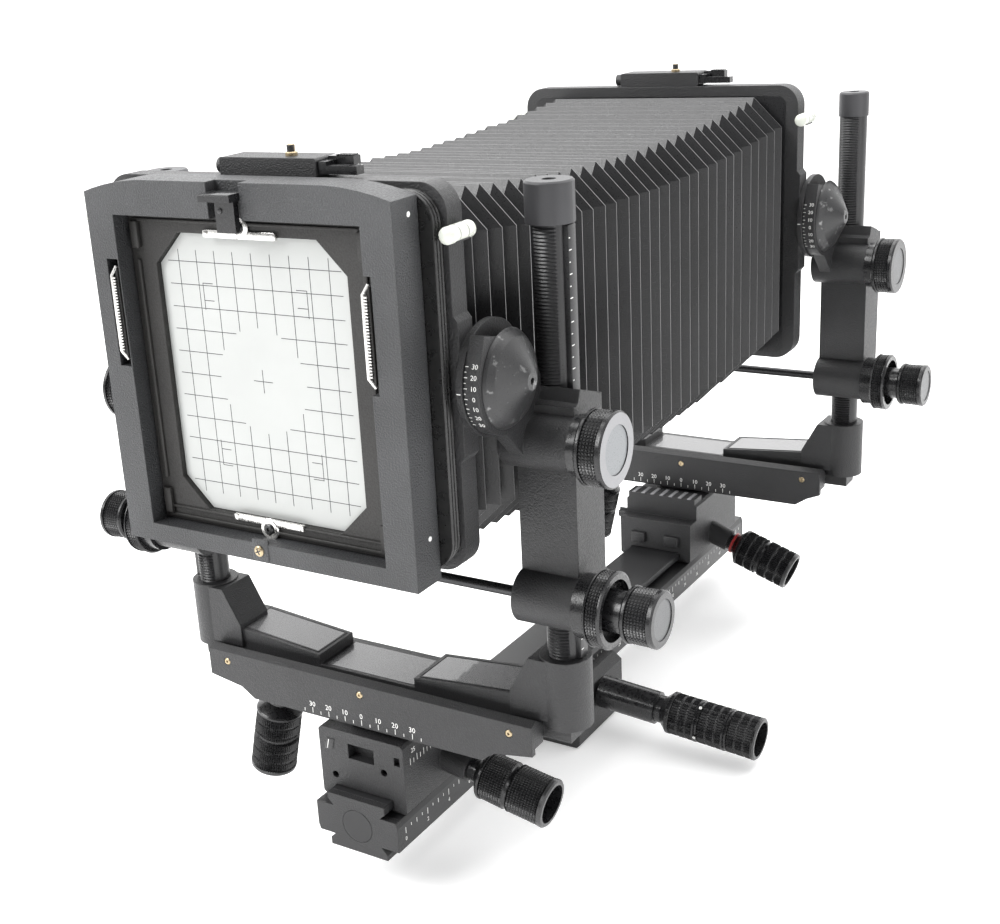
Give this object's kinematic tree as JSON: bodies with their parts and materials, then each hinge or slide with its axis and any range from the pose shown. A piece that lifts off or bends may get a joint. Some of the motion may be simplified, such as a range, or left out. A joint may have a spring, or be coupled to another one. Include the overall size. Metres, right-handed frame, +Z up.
{
  "type": "monorail view camera",
  "caption": "Large-format monorail view camera: rail on a tripod clamp, two geared standards with rise, shift, swing and tilt, pleated bellows, spring back with ground glass.",
  "frame": {"origin": "mouth of the tripod socket, at the centre of the clamp's underside", "axes": "+Y along the rail towards the lens, +X to the right seen from behind, +Z up"},
  "size_m": [0.3222, 0.5038, 0.3725],
  "materials": {
    "casting": "fine granular black paint",
    "rail_metal": "black anodised",
    "frame_paint": "fine granular black paint",
    "knob_black": "black anodised knurl",
    "post_black": "satin black",
    "post_cap_metal": "satin dark grey",
    "shaft_steel": "dark steel",
    "hub_metal": "black, worn bright at the edges",
    "bellows_cloth": "satin black coated cloth",
    "glass_pale": "ground",
    "lens_glass": "coated",
    "bright_steel": "bright spring steel",
    "vial": "white translucent",
    "black_plastic": "black"
  },
  "bodies": {
    "rail_base": {"rail": "rail_metal", "rail_end_caps": "casting", "tripod_clamp": "casting", "bellows": "bellows_cloth"},
    "clamp_lever": {"clamp_handle": "knob_black"},
    "rear_block": {"rear_carriage": "casting"},
    "rear_focus_drive": {"rear_focus_shaft": "shaft_steel", "rear_focus_knob": "knob_black"},
    "rear_swing_base": {"rear_turntable": "rail_metal"},
    "rear_shift_base": {"rear_bearer": "casting", "rear_shift_bar": "casting", "rear_posts": "post_black", "rear_post_caps": "post_cap_metal"},
    "rear_shift_lock": {"rear_shift_knob": "knob_black"},
    "rear_lift": {"rear_right_carrier": "casting", "rear_left_carrier": "casting", "rear_hub_covers": "hub_metal"},
    "rear_rise_drive": {"rear_rise_shaft": "shaft_steel", "rear_rise_knobs": "knob_black"},
    "rear_right_rise_ring": {"rear_right_rise_lock": "knob_black"},
    "rear_right_upper_ring": {"rear_right_upper_lock": "knob_black"},
    "rear_left_rise_ring": {"rear_left_rise_lock": "knob_black"},
    "rear_left_upper_ring": {"rear_left_upper_lock": "knob_black"},
    "rear_tilt_frame": {"rear_frame": "frame_paint", "rear_level_vials": "vial", "rear_top_housing": "casting", "back_panel": "frame_paint", "spring_back": "frame_paint"},
    "rear_top_slider": {"rear_top_lever": "black_plastic"},
    "front_block": {"front_carriage": "casting"},
    "front_focus_drive": {"front_focus_shaft": "shaft_steel", "front_focus_knob": "knob_black"},
    "front_swing_base": {"front_turntable": "rail_metal"},
    "front_shift_base": {"front_bearer": "casting", "front_shift_bar": "casting", "front_posts": "post_black", "front_post_caps": "post_cap_metal"},
    "front_shift_lock": {"front_shift_knob": "knob_black"},
    "front_lift": {"front_right_carrier": "casting", "front_left_carrier": "casting", "front_hub_covers": "hub_metal"},
    "front_rise_drive": {"front_rise_shaft": "shaft_steel", "front_rise_knobs": "knob_black"},
    "front_right_rise_ring": {"front_right_rise_lock": "knob_black"},
    "front_right_upper_ring": {"front_right_upper_lock": "knob_black"},
    "front_left_rise_ring": {"front_left_rise_lock": "knob_black"},
    "front_left_upper_ring": {"front_left_upper_lock": "knob_black"},
    "front_tilt_frame": {"front_frame": "frame_paint", "front_level_vials": "vial", "front_top_housing": "casting", "lens_board": "black_plastic", "lens": "black_plastic", "lens_elements": "lens_glass"},
    "front_top_slider": {"front_top_lever": "black_plastic"},
    "glass_holder": {"glass_frame": "frame_paint", "ground_glass": "glass_pale", "glass_clips": "bright_steel", "left_bail": "bright_steel", "right_bail": "bright_steel"},
    "latch": {"film_latch": "black_plastic"}
  },
  "joints": [
    {"name": "clamp_turn", "type": "hinge", "parent": "rail_base", "child": "clamp_lever", "pos_m": [0.028, 0, 0.0256], "axis": [0.9966, 0, -0.0819], "range_deg": [0, 270]},
    {"name": "rear_focus", "type": "slide", "parent": "rail_base", "child": "rear_block", "axis": [0, 1, 0], "range_m": [0, 0.03], "deforming": ["bellows"]},
    {"name": "rear_focus_turn", "type": "hinge", "parent": "rear_block", "child": "rear_focus_drive", "pos_m": [0, -0.153, 0.0624], "axis": [0.9836, 0, -0.1805], "range_deg": [-150, 5]},
    {"name": "rear_swing", "type": "hinge", "parent": "rear_block", "child": "rear_swing_base", "pos_m": [0, -0.165, 0.0824], "axis": [0, 0, 1], "range_deg": [-8, 8], "deforming": ["bellows"]},
    {"name": "rear_shift", "type": "slide", "parent": "rear_swing_base", "child": "rear_shift_base", "axis": [1, 0, 0], "range_m": [-0.025, 0.025], "deforming": ["bellows"]},
    {"name": "rear_shift_lock_turn", "type": "hinge", "parent": "rear_shift_base", "child": "rear_shift_lock", "pos_m": [-0.063, -0.1684, 0.0959], "axis": [-0.2317, 0, -0.9728], "range_deg": [-90, 0]},
    {"name": "rear_rise", "type": "slide", "parent": "rear_shift_base", "child": "rear_lift", "axis": [0, 0, 1], "range_m": [-0.018, 0.04], "deforming": ["bellows"]},
    {"name": "rear_rise_turn", "type": "hinge", "parent": "rear_lift", "child": "rear_rise_drive", "pos_m": [0, -0.1814, 0.1725], "axis": [1, 0, 0], "range_deg": [-460, 210]},
    {"name": "rear_right_rise_lock_turn", "type": "hinge", "parent": "rear_lift", "child": "rear_right_rise_ring", "pos_m": [0.121, -0.1814, 0.1725], "axis": [1, 0, 0], "range_deg": [-60, 0]},
    {"name": "rear_right_upper_lock_turn", "type": "hinge", "parent": "rear_lift", "child": "rear_right_upper_ring", "pos_m": [0.121, -0.1814, 0.2454], "axis": [1, 0, 0], "range_deg": [-180, 0]},
    {"name": "rear_left_rise_lock_turn", "type": "hinge", "parent": "rear_lift", "child": "rear_left_rise_ring", "pos_m": [-0.121, -0.1814, 0.1725], "axis": [-1, 0, 0], "range_deg": [-60, 0]},
    {"name": "rear_left_upper_lock_turn", "type": "hinge", "parent": "rear_lift", "child": "rear_left_upper_ring", "pos_m": [-0.121, -0.1814, 0.2454], "axis": [-1, 0, 0], "range_deg": [-180, 0]},
    {"name": "rear_tilt", "type": "hinge", "parent": "rear_lift", "child": "rear_tilt_frame", "pos_m": [0, -0.203, 0.2782], "axis": [1, 0, 0], "range_deg": [-15, 15], "deforming": ["bellows"]},
    {"name": "rear_top_slide", "type": "slide", "parent": "rear_tilt_frame", "child": "rear_top_slider", "axis": [1, 0, 0], "range_m": [0, 0.006]},
    {"name": "front_focus", "type": "slide", "parent": "rail_base", "child": "front_block", "axis": [0, 1, 0], "range_m": [-0.03, 0], "deforming": ["bellows"]},
    {"name": "front_focus_turn", "type": "hinge", "parent": "front_block", "child": "front_focus_drive", "pos_m": [0, 0.193, 0.0624], "axis": [0.9426, 0, -0.3338], "range_deg": [-5, 150]},
    {"name": "front_swing", "type": "hinge", "parent": "front_block", "child": "front_swing_base", "pos_m": [0, 0.2076, 0.0824], "axis": [0, 0, 1], "range_deg": [-8, 8], "deforming": ["bellows"]},
    {"name": "front_shift", "type": "slide", "parent": "front_swing_base", "child": "front_shift_base", "axis": [1, 0, 0], "range_m": [-0.0312, 0.0188], "deforming": ["bellows"]},
    {"name": "front_shift_lock_turn", "type": "hinge", "parent": "front_shift_base", "child": "front_shift_lock", "pos_m": [-0.0568, 0.2042, 0.0959], "axis": [-0.2317, 0, -0.9728], "range_deg": [-90, 0]},
    {"name": "front_rise", "type": "slide", "parent": "front_shift_base", "child": "front_lift", "axis": [0, 0, 1], "range_m": [-0.018, 0.04], "deforming": ["bellows"]},
    {"name": "front_rise_turn", "type": "hinge", "parent": "front_lift", "child": "front_rise_drive", "pos_m": [0.0062, 0.1912, 0.1725], "axis": [1, 0, 0], "range_deg": [-460, 210]},
    {"name": "front_right_rise_lock_turn", "type": "hinge", "parent": "front_lift", "child": "front_right_rise_ring", "pos_m": [0.1272, 0.1912, 0.1725], "axis": [1, 0, 0], "range_deg": [-60, 0]},
    {"name": "front_right_upper_lock_turn", "type": "hinge", "parent": "front_lift", "child": "front_right_upper_ring", "pos_m": [0.1272, 0.1912, 0.2454], "axis": [1, 0, 0], "range_deg": [-180, 0]},
    {"name": "front_left_rise_lock_turn", "type": "hinge", "parent": "front_lift", "child": "front_left_rise_ring", "pos_m": [-0.1148, 0.1912, 0.1725], "axis": [-1, 0, 0], "range_deg": [-60, 0]},
    {"name": "front_left_upper_lock_turn", "type": "hinge", "parent": "front_lift", "child": "front_left_upper_ring", "pos_m": [-0.1148, 0.1912, 0.2454], "axis": [-1, 0, 0], "range_deg": [-180, 0]},
    {"name": "front_tilt", "type": "hinge", "parent": "front_lift", "child": "front_tilt_frame", "pos_m": [0.0062, 0.1696, 0.2782], "axis": [1, 0, 0], "range_deg": [-15, 15], "deforming": ["bellows"]},
    {"name": "front_top_slide", "type": "slide", "parent": "front_tilt_frame", "child": "front_top_slider", "axis": [1, 0, 0], "range_m": [0, 0.006]},
    {"name": "glass_slide", "type": "slide", "parent": "rear_tilt_frame", "child": "glass_holder", "axis": [0, -1, 0], "range_m": [0, 0.005], "stiffness_N_per_m": 150},
    {"name": "latch_slide", "type": "slide", "parent": "rear_tilt_frame", "child": "latch", "axis": [0, 0, 1], "range_m": [0, 0.004]}
  ],
  "couplings": [
    {"joint": "rear_focus_turn", "follows": "rear_focus", "rad_per_m": -83.333},
    {"joint": "rear_rise_turn", "follows": "rear_rise", "rad_per_m": -200},
    {"joint": "front_focus_turn", "follows": "front_focus", "rad_per_m": -83.333},
    {"joint": "front_rise_turn", "follows": "front_rise", "rad_per_m": -200}
  ]
}
